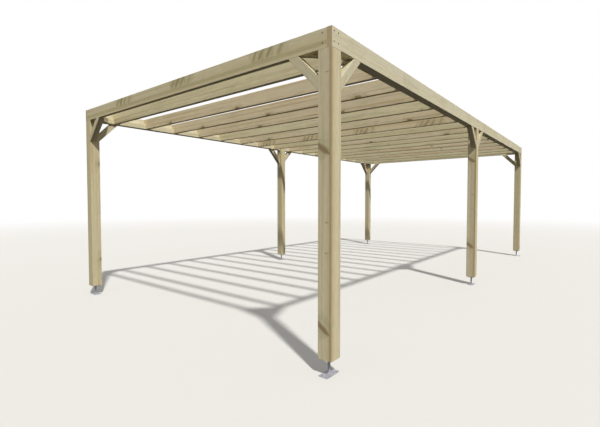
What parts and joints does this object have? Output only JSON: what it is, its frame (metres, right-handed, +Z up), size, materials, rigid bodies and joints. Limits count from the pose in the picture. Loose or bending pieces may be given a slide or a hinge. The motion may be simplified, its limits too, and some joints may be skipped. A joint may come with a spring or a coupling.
{
  "type": "wooden pergola",
  "caption": "Open rectangular garden pergola of square posts on adjustable metal feet, with a flat ring of beams, corner braces and evenly spaced roof boards on edge.",
  "frame": {"origin": "on the ground, under the middle of the whole frame", "axes": "+X across the width to the right seen from the front, +Y along the length from the front to the back, +Z up"},
  "size_m": [4.04, 7.88, 2.5],
  "materials": {
    "treated_pine": "planed pressure-treated pine, pale yellow green, matt, with fine lengthwise grain and small knots",
    "galvanised_steel": "hot-dip galvanised steel, dull light grey"
  },
  "bodies": {
    "root": {"brace_back_left_across": "treated_pine", "brace_back_left_lengthwise": "treated_pine", "brace_back_left_level": "treated_pine", "brace_back_right_across": "treated_pine", "brace_back_right_lengthwise": "treated_pine", "brace_back_right_level": "treated_pine", "brace_front_left_across": "treated_pine", "brace_front_left_lengthwise": "treated_pine", "brace_front_left_level": "treated_pine", "brace_front_right_across": "treated_pine", "brace_front_right_lengthwise": "treated_pine", "brace_front_right_level": "treated_pine", "brace_middle_left_backward": "treated_pine", "brace_middle_left_frontward": "treated_pine", "brace_middle_right_backward": "treated_pine", "brace_middle_right_frontward": "treated_pine", "end_beam_back": "treated_pine", "end_beam_front": "treated_pine", "foot_back_left": "galvanised_steel", "foot_back_right": "galvanised_steel", "foot_front_left": "galvanised_steel", "foot_front_right": "galvanised_steel", "foot_middle_left": "galvanised_steel", "foot_middle_right": "galvanised_steel", "inner_beam_back_left": "treated_pine", "inner_beam_back_right": "treated_pine", "inner_beam_front_left": "treated_pine", "inner_beam_front_right": "treated_pine", "post_back_left": "treated_pine", "post_back_right": "treated_pine", "post_front_left": "treated_pine", "post_front_right": "treated_pine", "post_middle_left": "treated_pine", "post_middle_right": "treated_pine", "rafter_01": "treated_pine", "rafter_02": "treated_pine", "rafter_03": "treated_pine", "rafter_04": "treated_pine", "rafter_05": "treated_pine", "rafter_06": "treated_pine", "rafter_07": "treated_pine", "rafter_08": "treated_pine", "rafter_09": "treated_pine", "rafter_10": "treated_pine", "rafter_11": "treated_pine", "rafter_12": "treated_pine", "rafter_13": "treated_pine", "rafter_14": "treated_pine", "rafter_15": "treated_pine", "rafter_16": "treated_pine", "side_beam_left": "treated_pine", "side_beam_right": "treated_pine"}
  },
  "joints": []
}
